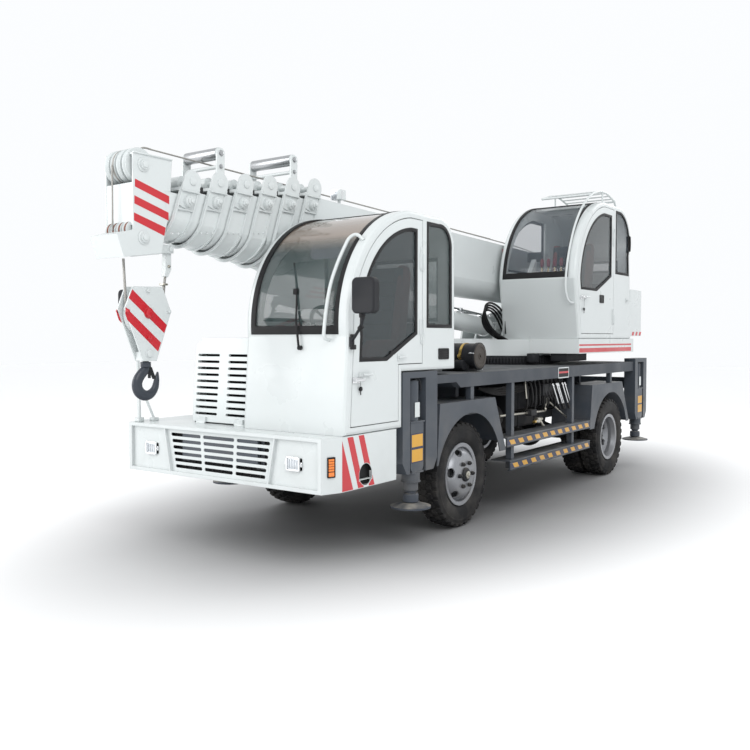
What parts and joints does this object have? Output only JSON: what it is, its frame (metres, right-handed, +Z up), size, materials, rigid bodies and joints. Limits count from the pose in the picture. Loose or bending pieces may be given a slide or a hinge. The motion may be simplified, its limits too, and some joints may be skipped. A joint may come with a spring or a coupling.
{
  "type": "mobile crane",
  "caption": "Short two-axle truck crane with a slewing turret, operator cab, nested telescopic boom, hook block and extending outriggers.",
  "frame": {"origin": "ground level, midway along and across the whole crane as parked with the boom lowered over the front", "axes": "+Y runs from the driver cab's bumper to the rear, +X to the vehicle's left, +Z up"},
  "size_m": [2.706, 7.9003, 3.4709],
  "materials": {
    "frame_paint": "satin slate-grey paint, road dust in the corners",
    "white_paint": "gloss cool-white paint with soft weathering",
    "mast_paint": "gloss cool-white paint over welded plate",
    "deck_paint": "worn dusty deck paint",
    "boom_paint": "gloss cool-white paint over folded high-strength plate",
    "tyre_rubber": "dusty black rubber with road tread",
    "wheel_paint": "silver-grey wheel paint",
    "cast_dark": "dark painted casting",
    "chrome_rod": "hard-chromed rod",
    "glass_clear": "clear safety glass, light tint",
    "seat_vinyl": "worn red-brown vinyl",
    "lamp_glass": "clear and amber lamp glass",
    "rope_steel": "greased wire rope on the drum",
    "hook_paint": "slate-blue hook paint",
    "mirror_shell": "black moulded shell",
    "black_parts": "semi-gloss black paint",
    "tank_paint": "satin slate-grey paint"
  },
  "bodies": {
    "chassis": {"chassis_frame": "frame_paint", "deck": "deck_paint", "bumper": "white_paint", "lamps": "lamp_glass", "fenders": "frame_paint", "side_steps": "frame_paint", "front_axle": "cast_dark", "rear_axle": "cast_dark", "driver_cab_shell": "white_paint", "driver_cab_glass": "glass_clear", "driver_seat": "seat_vinyl", "power_train": "cast_dark", "hood_housing": "white_paint", "tanks": "tank_paint", "air_cleaner": "black_parts", "valve_bank": "cast_dark", "mirrors": "mirror_shell", "slew_ring": "cast_dark"},
    "knuckle_left": {"knuckle_left": "cast_dark"},
    "knuckle_right": {"knuckle_right": "cast_dark"},
    "wheel_front_left": {"front_tyre_left": "tyre_rubber", "front_rim_left": "wheel_paint"},
    "wheel_front_right": {"front_tyre_right": "tyre_rubber", "front_rim_right": "wheel_paint"},
    "wheel_rear_left": {"rear_tyres_left": "tyre_rubber", "rear_rims_left": "wheel_paint"},
    "wheel_rear_right": {"rear_tyres_right": "tyre_rubber", "rear_rims_right": "wheel_paint"},
    "turret": {"turret_frame": "mast_paint", "operator_cab_shell": "white_paint", "operator_cab_glass": "glass_clear", "operator_seat": "seat_vinyl", "counterweight": "white_paint"},
    "winch": {"winch_drum": "rope_steel"},
    "boom": {"boom_base": "boom_paint"},
    "lift_barrel": {"cylinder_barrel": "mast_paint"},
    "lift_rod": {"cylinder_rod": "chrome_rod"},
    "hook_block": {"hook_block": "white_paint"},
    "hook": {"hook": "hook_paint"},
    "driver_door": {"driver_door": "white_paint", "driver_door_glass": "glass_clear"},
    "operator_door": {"operator_door": "white_paint", "operator_door_glass": "glass_clear"},
    "hood_lid": {"hood_lid": "white_paint"},
    "section_2": {"boom_section_2": "boom_paint"},
    "section_3": {"boom_section_3": "boom_paint"},
    "section_4": {"boom_section_4": "boom_paint"},
    "section_5": {"boom_section_5": "boom_paint"},
    "section_6": {"boom_section_6": "boom_paint"},
    "section_7": {"boom_section_7": "boom_paint", "boom_head": "boom_paint"},
    "beam_front_left": {"outrigger_beam_front_left": "frame_paint"},
    "jack_front_left": {"jack_front_left": "chrome_rod"},
    "beam_front_right": {"outrigger_beam_front_right": "frame_paint"},
    "jack_front_right": {"jack_front_right": "chrome_rod"},
    "beam_rear_left": {"outrigger_beam_rear_left": "frame_paint"},
    "jack_rear_left": {"jack_rear_left": "chrome_rod"},
    "beam_rear_right": {"outrigger_beam_rear_right": "frame_paint"},
    "jack_rear_right": {"jack_rear_right": "chrome_rod"}
  },
  "joints": [
    {"name": "steer_left", "type": "hinge", "parent": "chassis", "child": "knuckle_left", "pos_m": [0.7, -1.077, 0.468], "axis": [0, 0, 1], "range_deg": [-32, 32]},
    {"name": "spin_front_left", "type": "hinge", "parent": "knuckle_left", "child": "wheel_front_left", "pos_m": [0.7, -1.077, 0.468], "axis": [1, 0, 0], "continuous": true},
    {"name": "steer_right", "type": "hinge", "parent": "chassis", "child": "knuckle_right", "pos_m": [-0.7, -1.077, 0.468], "axis": [0, 0, 1], "range_deg": [-32, 32]},
    {"name": "spin_front_right", "type": "hinge", "parent": "knuckle_right", "child": "wheel_front_right", "pos_m": [-0.7, -1.077, 0.468], "axis": [1, 0, 0], "continuous": true},
    {"name": "spin_rear_left", "type": "hinge", "parent": "chassis", "child": "wheel_rear_left", "pos_m": [0.8, 2.497, 0.468], "axis": [1, 0, 0], "continuous": true},
    {"name": "spin_rear_right", "type": "hinge", "parent": "chassis", "child": "wheel_rear_right", "pos_m": [-0.8, 2.497, 0.468], "axis": [1, 0, 0], "continuous": true},
    {"name": "extend_front_left", "type": "slide", "parent": "chassis", "child": "beam_front_left", "axis": [1, 0, 0], "range_m": [0, 0.6]},
    {"name": "lower_front_left", "type": "slide", "parent": "beam_front_left", "child": "jack_front_left", "axis": [0, 0, -1], "range_m": [0, 0.3]},
    {"name": "extend_front_right", "type": "slide", "parent": "chassis", "child": "beam_front_right", "axis": [-1, 0, 0], "range_m": [0, 0.6]},
    {"name": "lower_front_right", "type": "slide", "parent": "beam_front_right", "child": "jack_front_right", "axis": [0, 0, -1], "range_m": [0, 0.3]},
    {"name": "extend_rear_left", "type": "slide", "parent": "chassis", "child": "beam_rear_left", "axis": [1, 0, 0], "range_m": [0, 0.6]},
    {"name": "lower_rear_left", "type": "slide", "parent": "beam_rear_left", "child": "jack_rear_left", "axis": [0, 0, -1], "range_m": [0, 0.3]},
    {"name": "extend_rear_right", "type": "slide", "parent": "chassis", "child": "beam_rear_right", "axis": [-1, 0, 0], "range_m": [0, 0.6]},
    {"name": "lower_rear_right", "type": "slide", "parent": "beam_rear_right", "child": "jack_rear_right", "axis": [0, 0, -1], "range_m": [0, 0.3]},
    {"name": "slew", "type": "hinge", "parent": "chassis", "child": "turret", "pos_m": [0, 1.86, 1.48], "axis": [0, 0, -1], "range_deg": [0, 330]},
    {"name": "winch_turn", "type": "hinge", "parent": "turret", "child": "winch", "pos_m": [-0.2, 3.79, 2.12], "axis": [1, 0, 0], "continuous": true},
    {"name": "luff", "type": "hinge", "parent": "turret", "child": "boom", "pos_m": [-0.2, 3.31, 2.4], "axis": [-1, 0, 0], "range_deg": [0, 75]},
    {"name": "extend_2", "type": "slide", "parent": "boom", "child": "section_2", "axis": [0, -0.9997, 0.0262], "range_m": [0, 3.9]},
    {"name": "extend_3", "type": "slide", "parent": "section_2", "child": "section_3", "axis": [0, -0.9997, 0.0262], "range_m": [0, 3.9]},
    {"name": "extend_4", "type": "slide", "parent": "section_3", "child": "section_4", "axis": [0, -0.9997, 0.0262], "range_m": [0, 3.9]},
    {"name": "extend_5", "type": "slide", "parent": "section_4", "child": "section_5", "axis": [0, -0.9997, 0.0262], "range_m": [0, 3.9]},
    {"name": "extend_6", "type": "slide", "parent": "section_5", "child": "section_6", "axis": [0, -0.9997, 0.0262], "range_m": [0, 3.9]},
    {"name": "extend_7", "type": "slide", "parent": "section_6", "child": "section_7", "axis": [0, -0.9997, 0.0262], "range_m": [0, 3.9]},
    {"name": "cylinder_foot", "type": "hinge", "parent": "turret", "child": "lift_barrel", "pos_m": [-0.2, 1.76, 1.8], "axis": [-1, 0, 0], "range_deg": [0, 87.45]},
    {"name": "cylinder_stroke", "type": "slide", "parent": "lift_barrel", "child": "lift_rod", "axis": [0, -0.9961, 0.0885], "range_m": [0, 1.914]},
    {"name": "hook_hang", "type": "hinge", "parent": "section_7", "child": "hook_block", "pos_m": [-0.2, -3.39, 2.326], "axis": [1, 0, 0], "range_deg": [0, 75]},
    {"name": "hook_swivel", "type": "hinge", "parent": "hook_block", "child": "hook", "pos_m": [-0.2, -3.592, 1.5], "axis": [0, 0, 1], "continuous": true},
    {"name": "driver_door_hinge", "type": "hinge", "parent": "chassis", "child": "driver_door", "pos_m": [1.088, -1.861, 1.7], "axis": [0, 0, -1], "range_deg": [-80, 0]},
    {"name": "operator_door_hinge", "type": "hinge", "parent": "turret", "child": "operator_door", "pos_m": [1.061, 2.648, 2.4], "axis": [0, 0, -1], "range_deg": [-80, 0]},
    {"name": "hood_lid_hinge", "type": "hinge", "parent": "chassis", "child": "hood_lid", "pos_m": [-0.25, -2.809, 0.986], "axis": [1, 0, 0], "range_deg": [0, 60]}
  ],
  "couplings": [
    {"joint": "steer_right", "follows": "steer_left", "ratio": 1},
    {"joint": "cylinder_foot", "follows": "luff", "ratio": 1.1653},
    {"joint": "cylinder_stroke", "follows": "luff", "m_per_rad": 1.4607},
    {"joint": "hook_hang", "follows": "luff", "ratio": 1},
    {"joint": "extend_3", "follows": "extend_2", "ratio": 1},
    {"joint": "extend_4", "follows": "extend_2", "ratio": 1},
    {"joint": "extend_5", "follows": "extend_2", "ratio": 1},
    {"joint": "extend_6", "follows": "extend_2", "ratio": 1},
    {"joint": "extend_7", "follows": "extend_2", "ratio": 1}
  ]
}
